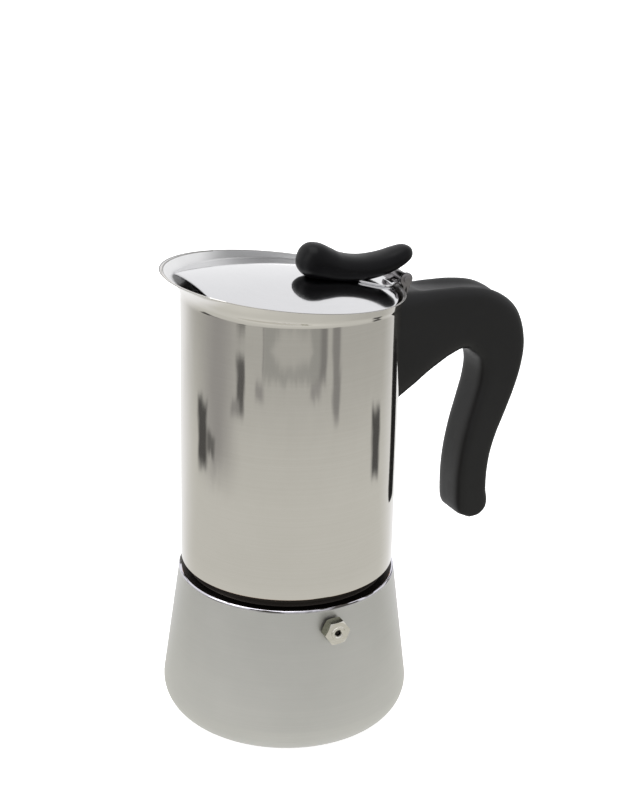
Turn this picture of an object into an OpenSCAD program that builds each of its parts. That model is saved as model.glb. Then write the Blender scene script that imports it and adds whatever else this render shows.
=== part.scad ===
// Stove-top moka pot in stainless steel with an open black handle.
// Origin at the centre of the foot, +Z up. The handle points along +X, the spout along -X,
// and the safety valve faces close to -Y.

/* [Boiler] */
// Height of the boiler's top edge above the stove
boiler_h = 64.4; // [60:0.1:70]
// Radius of the boiler's outside at its top edge
boiler_top_r = 44.9; // [44:0.1:46]
// Radius the sloping side would reach at stove level without the rounded foot
boiler_foot_r = 53.3; // [51:0.1:56]
// Radius of the rounding between side and bottom
foot_round = 12; // [8:0.5:14]
// Thickness of the steel sheet
sheet = 0.9; // [0.8:0.05:1]
// Outside radius of the threaded neck on top of the boiler
neck_r = 40.4; // [40:0.1:40.6]
// Height of the neck's upper edge above the stove
neck_top = 76.5; // [76:0.1:77]

/* [Vessel] */
// Outside radius of the upper vessel
vessel_r = 44; // [43.5:0.1:44.5]
// Height of the vessel's lower edge above the stove
vessel_z = 68.6; // [68:0.1:70]
// Height on the axis where the wall starts to flare
flare_z = 180.1; // [178:0.1:181]
// Fall of the flare's foot for each millimetre towards the handle
flare_tilt = 0.05; // [0.04:0.005:0.06]
// Rise of the flare's foot at the pot's sides
flare_lift = 2; // [1.5:0.1:2.5]
// Height of the pouring rim over the pot's axis
rim_z = 187.7; // [187:0.1:190]
// Rise of the rim for each millimetre towards the spout
rim_slope = 0.1257; // [0.12:0.001:0.13]
// Half width of the rim, across the pot
rim_half_w = 45.2; // [44.6:0.1:46]
// Half length of the rim, from spout to hinge
rim_half_l = 49.6; // [49:0.1:51]
// Distance of the rim's centre from the axis, towards the spout
rim_shift = 3.5; // [3:0.1:4]

/* [Lid] */
// Height of the lid's top over the pot's axis
lid_z = 189.3; // [189:0.1:190]
// Rise of the lid for each millimetre towards the spout
lid_slope = 0.1205; // [0.118:0.0005:0.126]
// Bow of the lid along the pot, per square millimetre
lid_bow = 0.00135; // [0.0012:0.00005:0.0016]
// Bow of the lid across the pot, per square millimetre
lid_crown = 0.0034; // [0.0032:0.0001:0.0036]
// Radius of the lid across the pot
lid_r = 42; // [41.5:0.1:42.5]
// Reach of the lid towards the spout, where it is cut straight
lid_cut_x = 42.5; // [41:0.5:43]

/* [Hinge] */
// Distance of the hinge pin from the axis
hinge_x = 48.4; // [48.3:0.1:48.8]
// Height of the hinge pin
hinge_z = 184.1; // [184:0.1:184.5]
// Radius of the rolled barrel
barrel_r = 2.1; // [1.9:0.1:2.2]
// Radius of the hinge pin
pin_r = 1; // [0.8:0.05:1.1]

/* [Handle] */
// Half width of the handle
handle_half_w = 9.5; // [8.5:0.5:11]
// Rounding of the handle's long edges
handle_round = 4; // [2:0.5:5]
// Depth of the thumb scoop
scoop_depth = 2.2; // [1:0.1:3]

/* [Valve] */
// Height of the valve's axis above the stove
valve_z = 56; // [54:0.5:56]
// Angle of the valve about the pot, from the handle
valve_turn = -92; // [-100:1:-80]
// Turn of the hexagon about its own axis
valve_roll = 35; // [0:5:55]
// Width across the hexagon's flats
valve_flats = 9.5; // [8.5:0.5:10]

/* [Hidden] */

steel = "#c9c8c6";
dark_steel = "#9a9a98";
black_plastic = "#2b2b2d";
eps = 0.01;
smooth = 96;

// Boiler profile
side_angle = atan((boiler_foot_r - boiler_top_r) / boiler_h);
foot_x = boiler_foot_r - foot_round * (1 + sin(side_angle)) / cos(side_angle);
neck_t = 1.8;
shoulder_t = 1.5;

// The lid's crown eases off towards the hinge and towards its sides
lid_ease = 0.000015;
lid_side_ease = 0.00000055;

// Safety valve: seat and front face of its hexagon, measured out from the wall
valve_base = 0.8;
valve_face = 5.4;

// Funnel, gasket and filter stack
flange_t = 1;
flange_r = 40.2;
basket_r = 33.5;
basket_z = 48;
basket_t = 0.7;
stem_r = 5;
stem_bore = 4.2;
stem_z = 7;
cone_z = 42;
gasket_z = neck_top + flange_t;
gasket_t = 3;
gasket_r = 40.2;
gasket_hole_r = 30;
plate_z = gasket_z + gasket_t;
plate_r = 32.6;
plate_t = 0.8;

// Vessel parts
wall_t = 0.8;
collar_r = vessel_r - wall_t - 0.05;
collar_bore = 41.4;
collar_z = 69.4;
seat_top = 82.6;
floor_z = seat_top;
floor_t = 1;
column_foot_r = 12.5;
column_top_r = 5.2;
column_z = 150;
cone_top = 123;
cap_r = 6.6;
cap_top = 158;

// Hinge and bracket
cheek_t = 1.2;
cheek_r = 2.8;
hinge_half_w = 7;
bracket_z = 176;
leg_x = 47.6;
strap_half_w = 6;
strap_t = 1.5;
tab_z = 166;
tab_x = 62;
screw_x = 57.5;
screw_r = 2;

// Lid furniture
lid_t = 0.9;
leaf_t = 1;
leaf_gap = 0.02;
leaf_from = 28;
knob_screw_x = 19;
// Lid leaf as [x, height over the lid, half width]
leaf_line = [[28, 0, 6.4], [31, 0, 7.5], [35, 0, 8.9], [38.5, 0, 8.8], [41.5, 0.1, 7.4]];

// Handle centre line as [x, z, half thickness] from the vessel to the end of the grip
handle_line = [
    [38, 154, 23.2], [44, 156.4, 21.9], [50, 158.6, 20.6], [58, 160.9, 18.1], [67, 163, 15.6],
    [76, 163.9, 13.9], [84.7, 162.2, 13.6], [91.6, 156.9, 13.6], [95.6, 148.9, 11.8], [96.2, 140.5, 10.2],
    [94.5, 131.2, 9.2], [91.5, 121.6, 8.6], [88.3, 112, 8], [86, 102.4, 7.6], [84.9, 92.8, 7.5],
    [84.9, 83.6, 7.5], [85.6, 77.8, 7.7], [86.2, 74.7, 6.7], [86.4, 73.1, 4.3]];
// Stations of the handle line between which the thumb scoop is pressed in
scoop_from = 2.5;
scoop_to = 7.2;
scoop_half_w = 6.5;

// Knob centre line as [x, z, half thickness, half width] from the front lobe to the rear lobe
knob_line = [
    [3.1, 196.3, 1.6, 2], [4.1, 196, 4.2, 4.8], [6.4, 195.5, 6.3, 7.2], [9.8, 194.8, 7.1, 8.2],
    [14.1, 193.1, 6.7, 8.3], [19.1, 191.2, 6, 8.2], [25.1, 190, 5.4, 8], [31.1, 189.5, 5, 7.8],
    [36.7, 189.8, 4.7, 7.5], [42.1, 190.7, 4.4, 7], [46.8, 192.1, 4, 6.4], [50.6, 193.5, 3.3, 5.2],
    [52.6, 194.2, 2.2, 3.4], [53.5, 194.5, 0.9, 1.4]];

// Height of the rim plane at distance x from the axis
function rim_at(x) = rim_z - rim_slope * x;

// Radius of an ellipse, centred at -shift, seen from the axis at angle a from +X
function oval_r(a, half_l, half_w, shift) =
    let (k = cos(a) / half_l, m = sin(a) / half_w, p = shift / half_l)
    let (qa = k * k + m * m, qb = 2 * k * p, qc = p * p - 1)
    (-qb + sqrt(qb * qb - 4 * qa * qc)) / (2 * qa);
function rim_r(a) = oval_r(a, rim_half_l, rim_half_w, rim_shift);
// The flare opens slowly at spout and hinge, and bulges just above its foot at the sides
function side_swell(t) =
    t < 0.28 ? 4.536 * t * t : t < 0.5 ? 0.3556 + 2.54 * (t - 0.28) - 4.41 * pow(t - 0.28, 2) :
    0.701 + 0.598 * (t - 0.5);
// Radius of the wall's outside at share t of the flare's height
function flare_r(a, t) =
    vessel_r + (rim_r(a) - vessel_r) * (t * t * pow(cos(a), 2) + side_swell(t) * pow(sin(a), 2));
function flare_foot(a) = flare_z - flare_tilt * vessel_r * cos(a) + flare_lift * pow(sin(a), 2);
function flare_height(a, t) = flare_foot(a) + (rim_at(rim_r(a) * cos(a)) - flare_foot(a)) * t;

// Lid outline and surface
function lid_reach(a) =
    cos(a) < 0 ? min(lid_r + 4.9 * cos(a) * cos(a), -lid_cut_x / cos(a)) : lid_r + 0.6 * cos(a) * cos(a);
function lid_top(x, y) =
    lid_z - lid_slope * x - lid_bow * x * x - (lid_crown - lid_ease * x - lid_side_ease * y * y) * y * y;

// Closed solid from rings of the same number of points, with both ends capped
module skin(rings) {
    n = len(rings[0]);
    m = len(rings);
    points = [for (ring = rings) each ring];
    sides = [for (i = [0:m - 2], j = [0:n - 1]) let (k = (j + 1) % n)
        each [[i * n + j, (i + 1) * n + k, i * n + k], [i * n + j, (i + 1) * n + j, (i + 1) * n + k]]];
    ends = [[for (j = [0:n - 1]) j], [for (j = [n - 1:-1:0]) (m - 1) * n + j]];
    polyhedron(points, concat(sides, ends));
}

// Closed loop of rings, such as a sheet's outside and inside joined at both edges
module ring_loop(rings) {
    n = len(rings[0]);
    m = len(rings);
    points = [for (ring = rings) each ring];
    sides = [for (i = [0:m - 1], j = [0:n - 1]) let (k = (j + 1) % n, u = (i + 1) % m)
        each [[i * n + j, u * n + k, i * n + k], [i * n + j, u * n + j, u * n + k]]];
    polyhedron(points, sides);
}

// Unit tangent of a centre line at point i, in the XZ plane
function along(line, i) =
    let (a = line[max(i - 1, 0)], b = line[min(i + 1, len(line) - 1)])
    let (dx = b[0] - a[0], dz = b[1] - a[1], d = sqrt(dx * dx + dz * dz))
    [dx / d, dz / d];

// Cross-section of the handle in [across, outward]: a rounded rectangle with a dished top
function handle_section(h, dish) =
    let (w = handle_half_w, r = min(handle_round, h * 0.8))
    concat(
        [for (a = [0:22.5:90]) [w - r + r * cos(a), h - r + r * sin(a)]],
        [for (u = [0.72:-0.36:-0.73]) let (y = u * (w - r) * 1.15)
            [y, h - dish * max(0, 1 - pow(y / scoop_half_w, 2))]],
        [for (a = [90:22.5:180]) [-w + r + r * cos(a), h - r + r * sin(a)]],
        [for (a = [180:22.5:270]) [-w + r + r * cos(a), -h + r + r * sin(a)]],
        [for (a = [270:22.5:360]) [w - r + r * cos(a), -h + r + r * sin(a)]]);

// Boiler, outside face moved inwards by t
module boiler_section(t) {
    nx = cos(side_angle);
    nz = sin(side_angle);
    r = foot_round - t;
    translate([foot_x, foot_round]) intersection() {
        circle(r, $fn = smooth);
        translate([0, -foot_round]) square([foot_round, 2 * foot_round]);
    }
    polygon([[0, t], [foot_x, t], [foot_x + r * nx, foot_round + r * nz],
        [boiler_top_r - t / nx, boiler_h], [0, boiler_h]]);
}

module boiler_shell() {
    color(steel) difference() {
        rotate_extrude($fn = smooth) difference() {
            boiler_section(0);
            boiler_section(sheet);
        }
        valve_place() cylinder(r = 3, h = 30, center = true, $fn = 32);
    }
}

// Ring that closes the boiler's shoulder and carries the thread
module boiler_neck() {
    shoulder_z = boiler_h - shoulder_t;
    color(dark_steel) rotate_extrude($fn = smooth) {
        intersection() {
            boiler_section(sheet);
            translate([neck_r - neck_t, shoulder_z]) square([20, shoulder_t]);
        }
        translate([neck_r - neck_t, shoulder_z]) square([neck_t, neck_top - shoulder_z]);
    }
}

// Valve frame: +Z points outwards along the valve, z 0 on the boiler's outside
module valve_place() {
    r = boiler_foot_r - valve_z * tan(side_angle);
    rotate([0, 0, valve_turn]) translate([r, 0, valve_z]) rotate([0, 90, 0]) children();
}

module valve_body() {
    color(steel) valve_place() difference() {
        union() {
            rotate([0, 0, valve_roll]) translate([0, 0, valve_base])
                cylinder(d = valve_flats / cos(30), h = valve_face - valve_base, $fn = 6);
            translate([0, 0, valve_face - eps]) cylinder(r = 2.5, h = 0.6, $fn = 48);
            translate([0, 0, -7]) cylinder(r = 2.95, h = 7 + valve_base + eps, $fn = 48);
        }
        translate([0, 0, -8]) cylinder(r = 2.1, h = 8 + valve_face - 1, $fn = 48);
        cylinder(r = 1.25, h = 10, $fn = 48);
    }
}

module valve_washer() {
    // cut to the wall it seals against
    color(dark_steel) difference() {
        valve_place() difference() {
            translate([0, 0, -1]) cylinder(r = 4.3, h = 1 + valve_base, $fn = 48);
            translate([0, 0, -2]) cylinder(r = 3, h = 4, $fn = 48);
        }
        rotate_extrude($fn = 4 * smooth) boiler_section(-0.02);
    }
}

module valve_nut() {
    color(steel) valve_place() difference() {
        translate([0, 0, -4.2]) cylinder(d = 11, h = 2.4, $fn = 6);
        translate([0, 0, -5]) cylinder(r = 3, h = 5, $fn = 48);
    }
}

module valve_seat() {
    color(dark_steel) valve_place() difference() {
        translate([0, 0, -7]) cylinder(r = 2.1, h = 1.2, $fn = 48);
        translate([0, 0, -8]) cylinder(r = 1.2, h = 4, $fn = 48);
    }
}

module valve_plunger() {
    color(dark_steel) valve_place() {
        translate([0, 0, -5.8]) cylinder(r = 2.04, h = 1.4, $fn = 48);
        translate([0, 0, -4.5]) cylinder(r = 0.9, h = 4.2 + valve_face, $fn = 32);
    }
}

module valve_spring() {
    turns = 5;
    wire = 0.22;
    mean_r = 1.5;
    length = valve_face + 2.6;
    steps = 20;
    color(steel) valve_place() translate([0, 0, -4.1])
        skin([for (i = [0:turns * steps]) let (a = i * 360 / steps, z = length * i / (turns * steps))
            [for (b = [300:-60:0]) let (r = mean_r + wire * cos(b))
                [r * cos(a), r * sin(a), z + wire * sin(b)]]]);
}

module funnel_basket() {
    color(steel) rotate_extrude($fn = smooth) difference() {
        union() {
            polygon([[0, cone_z], [stem_r + basket_t, cone_z], [basket_r, basket_z], [basket_r, gasket_z],
                [0, gasket_z]]);
            translate([0, neck_top]) square([flange_r, flange_t]);
        }
        polygon([[0, cone_z - 1], [stem_r, cone_z - 1], [stem_r, cone_z + basket_t],
            [basket_r - basket_t, basket_z + basket_t], [basket_r - basket_t, gasket_z + 1],
            [0, gasket_z + 1]]);
    }
}

module funnel_stem() {
    color(steel) difference() {
        translate([0, 0, stem_z]) cylinder(r = stem_r, h = cone_z + 2 - stem_z, $fn = 64);
        translate([0, 0, stem_z - 1]) cylinder(r = stem_bore, h = 40, $fn = 64);
    }
}

// Disc with rings of small round holes
module strainer(r, t, hole_r, rings) {
    difference() {
        cylinder(r = r, h = t, $fn = smooth);
        for (i = [1:rings], j = [0:6 * i - 1])
            rotate([0, 0, j * 60 / i]) translate([i * (r - 5) / rings, 0, -1])
                cylinder(r = hole_r, h = t + 2, $fn = 16);
    }
}

module funnel_strainer() {
    color(dark_steel) translate([0, 0, basket_z + basket_t]) strainer(basket_r - basket_t, 0.8, 0.8, 4);
}

module filter_plate() {
    color(dark_steel) translate([0, 0, plate_z]) strainer(plate_r, plate_t, 0.8, 4);
}

module gasket() {
    color("#d8d4cc") difference() {
        translate([0, 0, gasket_z]) cylinder(r = gasket_r, h = gasket_t, $fn = smooth);
        translate([0, 0, gasket_z - 1]) cylinder(r = gasket_hole_r, h = gasket_t + 2, $fn = smooth);
    }
}

// Wall with its flare: rings go up the outside, over the rim and down the inside
module vessel_shell() {
    sides = [for (a = [0:4:356]) a];
    shares = [0, 0.14, 0.28, 0.39, 0.5, 0.65, 0.78, 0.89];
    function ring(inset, z) = [for (a = sides) [(vessel_r - inset) * cos(a), (vessel_r - inset) * sin(a), z]];
    function flare(inset, t, drop) = [for (a = sides)
        [(flare_r(a, t) - inset) * cos(a), (flare_r(a, t) - inset) * sin(a), flare_height(a, t) - drop]];
    color(steel) ring_loop(concat(
        [ring(0, vessel_z)],
        [for (t = shares) flare(0, t, 0)],
        [flare(0, 1, 0.45), flare(0.15, 1, 0.1), flare(0.45, 1, 0), flare(0.8, 1, 0.1)],
        [for (i = [len(shares) - 1:-1:1]) flare(0.75, shares[i], -0.15)],
        [flare(wall_t, 0, 0), ring(wall_t, vessel_z)]));
}

module vessel_floor() {
    color(steel) translate([0, 0, floor_z]) difference() {
        cylinder(r = vessel_r - 0.95, h = floor_t, $fn = smooth);
        translate([0, 0, -1]) cylinder(r = column_foot_r - 1, h = 4, $fn = smooth);
    }
}

// Threaded collar with the stepped seat for gasket and filter plate
module thread_collar() {
    recess_top = plate_z + plate_t + 0.1;
    color(dark_steel) rotate_extrude($fn = smooth) polygon([
        [collar_bore, collar_z], [collar_r, collar_z], [collar_r, seat_top], [plate_r - 1.6, seat_top],
        [plate_r - 1.6, recess_top], [plate_r + 0.4, recess_top], [plate_r + 0.4, plate_z],
        [collar_bore, plate_z]]);
}

module coffee_column() {
    foot = floor_z + floor_t;
    color(steel) rotate_extrude($fn = 64) polygon([
        [column_foot_r - 0.8, foot], [column_foot_r + 2, foot], [column_foot_r + 2, foot + 0.8],
        [column_foot_r, foot + 0.8], [column_top_r + 2, cone_top - 18], [column_top_r, cone_top],
        [column_top_r, column_z], [column_top_r - 0.8, column_z], [column_top_r - 0.8, cone_top],
        [column_top_r + 1.2, cone_top - 18]]);
}

module column_cap() {
    color(steel) difference() {
        union() {
            translate([0, 0, column_z - 6]) cylinder(r = cap_r, h = cap_top - column_z + 4, $fn = 64);
            translate([0, 0, cap_top - 2]) cylinder(r1 = cap_r, r2 = cap_r - 2, h = 2, $fn = 64);
        }
        translate([0, 0, column_z - 7]) cylinder(r = column_top_r, h = 7, $fn = 64);
        translate([0, 0, column_z - 1]) cylinder(r = column_top_r - 0.8, h = 7, $fn = 64);
        for (a = [0, 180]) rotate([0, 0, a]) translate([cap_r - 3, -2, column_z + 1]) cube([5, 4, 3.5]);
    }
}

// Strap welded to the wall inside the handle, with a tab for the handle screw
module handle_bracket() {
    color(steel) difference() {
        union() {
            translate([vessel_r - 2, -strap_half_w, 146])
                cube([strap_t + 2, 2 * strap_half_w, 29]);
            translate([vessel_r, -strap_half_w, tab_z]) cube([tab_x - vessel_r, 2 * strap_half_w, strap_t]);
        }
        translate([0, 0, 140]) cylinder(r = vessel_r, h = 40, $fn = smooth);
        translate([screw_x, 0, tab_z - 1]) cylinder(r = screw_r, h = 4, $fn = 32);
    }
}

// Fixed half of the lid hinge: a strip bent round the outside of the rim, with a cheek on either side
module hinge_bracket() {
    strip_t = 1.2;
    color(steel) difference() {
        union() {
            translate([vessel_r - 2, -hinge_half_w, bracket_z])
                cube([leg_x + strip_t - vessel_r + 2, 2 * hinge_half_w, strip_t]);
            translate([leg_x, -hinge_half_w, bracket_z])
                cube([strip_t, 2 * hinge_half_w, hinge_z - barrel_r - 0.4 - bracket_z]);
            for (y = [-hinge_half_w, hinge_half_w - cheek_t]) translate([0, y + cheek_t, 0])
                rotate([90, 0, 0]) linear_extrude(cheek_t) {
                    translate([hinge_x, hinge_z]) intersection() {
                        circle(cheek_r, $fn = 48);
                        translate([-5, -1.9]) square(10);
                    }
                    polygon([[rim_half_l - rim_shift + 0.7, bracket_z], [leg_x + strip_t, bracket_z],
                        [hinge_x + cheek_r - eps, hinge_z], [rim_half_l - rim_shift + 0.7, hinge_z]]);
                }
        }
        translate([0, 0, 140]) cylinder(r = vessel_r, h = 60, $fn = smooth);
        translate([hinge_x, 20, hinge_z]) rotate([90, 0, 0]) cylinder(r = pin_r, h = 40, $fn = 32);
    }
}

module handle() {
    last = len(handle_line) - 1;
    color(black_plastic) difference() {
        skin([for (i = [0:last])
            let (p = handle_line[i], t = along(handle_line, i), n = [-t[1], t[0]])
            let (u = (i - scoop_from) / (scoop_to - scoop_from))
            let (dish = u > 0 && u < 1 ? scoop_depth * sqrt(sin(180 * u)) : 0)
            [for (q = handle_section(p[2], dish)) [p[0] + n[0] * q[1], q[0], p[1] + n[1] * q[1]]]]);
        // seat on the round wall
        translate([0, 0, 120]) cylinder(r = vessel_r + 0.02, h = 80, $fn = smooth);
        // room under the rim, for the hinge strip, the strap and its tab
        translate([30, -20, 177.6]) cube([20, 40, 12]);
        translate([40, -hinge_half_w - 0.3, 175.7]) cube([12, 2 * hinge_half_w + 0.6, 12]);
        translate([40, -strap_half_w - 0.2, 145.5]) cube([4 + strap_t + 0.3, 2 * strap_half_w + 0.4, 32]);
        translate([40, -strap_half_w - 0.2, tab_z - 0.2])
            cube([tab_x - 39.5, 2 * strap_half_w + 0.4, strap_t + 0.4]);
        // handle screw from below
        translate([screw_x, 0, 130]) cylinder(r = screw_r + 0.2, h = 42, $fn = 32);
        translate([screw_x, 0, 130]) cylinder(r = 4, h = 19, $fn = 48);
    }
}

module handle_screw() {
    color(steel) translate([screw_x, 0, 0]) difference() {
        union() {
            translate([0, 0, 146.5]) cylinder(r = 3.6, h = 2.5, $fn = 48);
            translate([0, 0, 149 - eps]) cylinder(r = screw_r, h = 21, $fn = 32);
        }
        for (a = [0, 90]) rotate([0, 0, a]) translate([-2.4, -0.45, 146]) cube([4.8, 0.9, 1.9]);
    }
}

module hinge_pin() {
    half = hinge_half_w + 0.2;
    color(steel) translate([hinge_x, 0, hinge_z]) rotate([90, 0, 0]) {
        cylinder(r = pin_r, h = 2 * half, center = true, $fn = 32);
        for (s = [-1, 1]) translate([0, 0, s * (half + 0.25)])
            cylinder(r = pin_r + 0.5, h = 0.5, center = true, $fn = 32);
    }
}

// Solid that follows the lid's curve, from depth below its top surface to height above it
module lid_solid(depth, height) {
    sides = [for (a = [0:5:355]) a];
    shares = [0.12, 0.3, 0.5, 0.7, 0.86, 1];
    function ring(s, up) = [for (a = sides)
        let (x = s * lid_reach(a) * cos(a), y = s * lid_reach(a) * sin(a)) [x, y, lid_top(x, y) + up]];
    skin(concat(
        [for (s = shares) ring(s, -depth)],
        [for (i = [len(shares) - 1:-1:0]) ring(shares[i], height)]));
}

// Frame of the knob's screw: origin on the lid's top surface, +Z square to it
module knob_place() {
    x = knob_screw_x;
    translate([x, 0, lid_top(x, 0)]) rotate([0, atan(lid_slope + 2 * lid_bow * x), 0]) children();
}

module lid_plate() {
    color(steel) difference() {
        lid_solid(lid_t, 0);
        knob_place() cylinder(r = 1.7, h = 10, center = true, $fn = 32);
    }
}

// Moving half of the hinge: a fanned strip welded on the lid that ends in one barrel
module lid_leaf() {
    half = hinge_half_w - cheek_t - 0.3;
    shares = [-1, -0.5, 0, 0.5, 1];
    function across(p, up) = [for (u = shares) [p[0], u * p[2], lid_top(p[0], u * p[2]) + p[1] + up]];
    function section(p) = concat(across(p, leaf_gap),
        [for (i = [len(shares) - 1:-1:0]) across(p, leaf_gap + leaf_t)[i]]);
    function level(x, z, w) = concat([for (u = shares) [x, u * w, z - 0.1 * u * u]],
        [for (i = [len(shares) - 1:-1:0]) let (u = shares[i]) [x, u * w, z - 0.1 * u * u + leaf_t]]);
    color(steel) difference() {
        union() {
            skin(concat([for (p = leaf_line) section(p)],
                [level(44, hinge_z - 1.9, 6), level(46.5, hinge_z - 0.9, half),
                    level(hinge_x, hinge_z - 0.5, half)]));
            translate([hinge_x, 0, hinge_z]) rotate([90, 0, 0])
                cylinder(r = barrel_r, h = 2 * half, center = true, $fn = 48);
        }
        translate([hinge_x, 20, hinge_z]) rotate([90, 0, 0]) cylinder(r = pin_r + 0.05, h = 40, $fn = 32);
        // opening beside the barrel
        translate([42.2, -half - 1, hinge_z - 5]) cube([3.4, half, 8]);
    }
}

module knob() {
    color(black_plastic) difference() {
        skin([for (i = [0:len(knob_line) - 1])
            let (p = knob_line[i], t = along(knob_line, i), n = [-t[1], t[0]])
            [for (a = [0:15:345]) let (w = p[3] * cos(a), h = p[2] * sin(a))
                [p[0] + n[0] * h, w, p[1] + n[1] * h]]]);
        lid_solid(8, leaf_gap);
        intersection() {
            lid_solid(8, leaf_t + 0.1);
            translate([leaf_from - 0.3, -20, 170]) cube([30, 40, 20]);
        }
        knob_place() cylinder(r = 1.5, h = 12, center = true, $fn = 32);
    }
}

module knob_screw() {
    color(steel) knob_place() {
        translate([0, 0, -2.9]) cylinder(r = 3, h = 1.2, $fn = 48);
        translate([0, 0, -1.8]) cylinder(r = 1.5, h = 7, $fn = 32);
    }
}

module knob_washer() {
    color(dark_steel) knob_place() translate([0, 0, -1.7]) difference() {
        cylinder(r = 4.2, h = 0.7, $fn = 48);
        translate([0, 0, -1]) cylinder(r = 1.7, h = 3, $fn = 32);
    }
}

boiler_shell();
boiler_neck();
valve_body();
valve_washer();
valve_nut();
valve_seat();
valve_plunger();
valve_spring();
funnel_basket();
funnel_stem();
funnel_strainer();
gasket();
filter_plate();
vessel_shell();
vessel_floor();
thread_collar();
coffee_column();
column_cap();
handle_bracket();
hinge_bracket();
handle();
handle_screw();
hinge_pin();
lid_plate();
lid_leaf();
knob();
knob_screw();
knob_washer();
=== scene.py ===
"""Moka pot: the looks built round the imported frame.

Pieces and floor are in millimetres. Lights, camera and textures are in metres.
"""

import math

import bmesh
import bpy
from mathutils import Matrix, Vector


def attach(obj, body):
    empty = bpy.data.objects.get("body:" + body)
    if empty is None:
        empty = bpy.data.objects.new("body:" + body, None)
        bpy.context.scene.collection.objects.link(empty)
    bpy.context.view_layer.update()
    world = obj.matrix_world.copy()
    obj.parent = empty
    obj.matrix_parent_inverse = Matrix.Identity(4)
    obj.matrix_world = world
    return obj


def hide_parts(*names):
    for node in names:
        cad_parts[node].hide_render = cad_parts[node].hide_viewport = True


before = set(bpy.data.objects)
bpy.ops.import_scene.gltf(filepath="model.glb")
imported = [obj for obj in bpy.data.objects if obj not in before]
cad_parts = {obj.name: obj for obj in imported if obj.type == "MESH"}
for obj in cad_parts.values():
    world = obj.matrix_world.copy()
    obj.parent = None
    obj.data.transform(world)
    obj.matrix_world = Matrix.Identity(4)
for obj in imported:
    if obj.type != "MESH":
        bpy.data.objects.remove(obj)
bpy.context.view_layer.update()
MM = 0.001

# ---------------------------------------- sizes shared with the CAD
BOILER_H, BOILER_TOP, BOILER_FOOT, FOOT_ROUND, SHEET = 64.4, 44.9, 53.3, 12.0, 0.9
NECK_R, NECK_TOP, NECK_T = 40.4, 76.5, 1.8
VESSEL_R, VESSEL_T, VESSEL_Z, FLARE_Z, FLARE_TILT, FLARE_LIFT = 44.0, 0.8, 68.6, 180.1, 0.05, 2.0
RIM_Z, RIM_SLOPE, RIM_W, RIM_L, RIM_SHIFT = 187.7, 0.1257, 45.2, 49.6, 3.5
LID_Z, LID_SLOPE, LID_BOW, LID_CROWN = 189.3, 0.1205, 0.00135, 0.0034
LID_EASE, LID_SIDE_EASE = 0.000015, 0.00000055
LID_R, LID_CUT, LID_T, LEAF_T = 42.0, 42.5, 0.9, 1.0
LEAF_START, LEAF_BEND = 27.6, 41.5
HINGE_X, HINGE_Z, BARREL_R, PIN_R, HINGE_HALF = 48.4, 184.1, 2.1, 1.0, 7.0
BRACKET_Z = 176.0
VALVE_Z, VALVE_TURN, VALVE_ROLL, VALVE_FLATS, VALVE_BASE, VALVE_FACE = 56.0, -92.0, 35.0, 9.5, 0.8, 5.4
BASKET_R, BASKET_Z, CONE_Z, STEM_R, STEM_BORE, STEM_Z = 33.5, 48.0, 42.0, 5.0, 4.2, 7.0
FLANGE_R, GASKET_Z, GASKET_T, GASKET_R, PLATE_R = 40.2, 77.5, 3.0, 40.2, 32.6
COLLAR_R, COLLAR_BORE, COLLAR_Z, SEAT_TOP = 43.15, 41.4, 69.4, 82.6
COLUMN_FOOT, COLUMN_TOP, COLUMN_Z, CONE_TOP, CAP_R, CAP_TOP = 12.5, 5.2, 150.0, 123.0, 6.6, 158.0
KNOB_X = 19.0
PITCH = 3.0
SIDE = math.atan((BOILER_FOOT - BOILER_TOP) / BOILER_H)
FOOT_X = BOILER_FOOT - FOOT_ROUND * (1 + math.sin(SIDE)) / math.cos(SIDE)
HINGE_PLACE = Matrix.Translation((HINGE_X, 0, HINGE_Z)) @ Matrix.Rotation(math.pi / 2, 4, "X")

# middle line of the handle as (x, z, half depth), from the vessel's wall to the end of the grip
HANDLE_LINE = [
    (38, 154, 23.2), (44, 156.4, 21.9), (50, 158.6, 20.6), (58, 160.9, 18.1), (67, 163, 15.6),
    (76, 163.9, 13.9), (84.7, 162.2, 13.6), (91.6, 156.9, 13.6), (95.6, 148.9, 11.8), (96.2, 140.5, 10.2),
    (94.5, 131.2, 9.2), (91.5, 121.6, 8.6), (88.3, 112, 8), (86, 102.4, 7.6), (84.9, 92.8, 7.5),
    (84.9, 83.6, 7.5), (85.6, 77.8, 7.7), (86.2, 74.7, 6.7), (86.4, 73.1, 4.3)]
HANDLE_W = 9.5
SCREW_X = 57.5
# middle line of the knob as (x, z, half height, half width), from the lid's middle to past the hinge
KNOB_LINE = [
    (3.1, 196.3, 1.6, 2), (4.1, 196, 4.2, 4.8), (6.4, 195.5, 6.3, 7.2), (9.8, 194.8, 7.1, 8.2),
    (14.1, 193.1, 6.7, 8.3), (19.1, 191.2, 6, 8.2), (25.1, 190, 5.4, 8), (31.1, 189.5, 5, 7.8),
    (36.7, 189.8, 4.7, 7.5), (42.1, 190.7, 4.4, 7), (46.8, 192.1, 4, 6.4), (50.6, 193.5, 3.3, 5.2),
    (52.6, 194.2, 2.2, 3.4), (53.5, 194.5, 0.9, 1.4)]


# ---------------------------------------- material building blocks
def feed(socket, value):
    """Links another node's output to a socket, or sets the socket's own value."""
    if isinstance(value, bpy.types.NodeSocket):
        socket.id_data.links.new(value, socket)
    else:
        socket.default_value = value


def add_node(tree, kind, **inputs):
    """New shader node. Its inputs are given by name, each as a value or as another node's output."""
    node = tree.nodes.new("ShaderNode" + kind)
    for key, value in inputs.items():
        feed(node.inputs[key.replace("_", " ")], value)
    return node


def noise(coord, scale, stretch=(1, 1, 1), detail=4.0, rough=0.55, distortion=0.0):
    mapping = add_node(coord.id_data, "Mapping", Vector=coord, Scale=stretch)
    tex = add_node(coord.id_data, "TexNoise", Vector=mapping.outputs["Vector"], Scale=scale, Detail=detail,
                   Roughness=rough, Distortion=distortion)
    return tex.outputs["Fac"]


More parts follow.
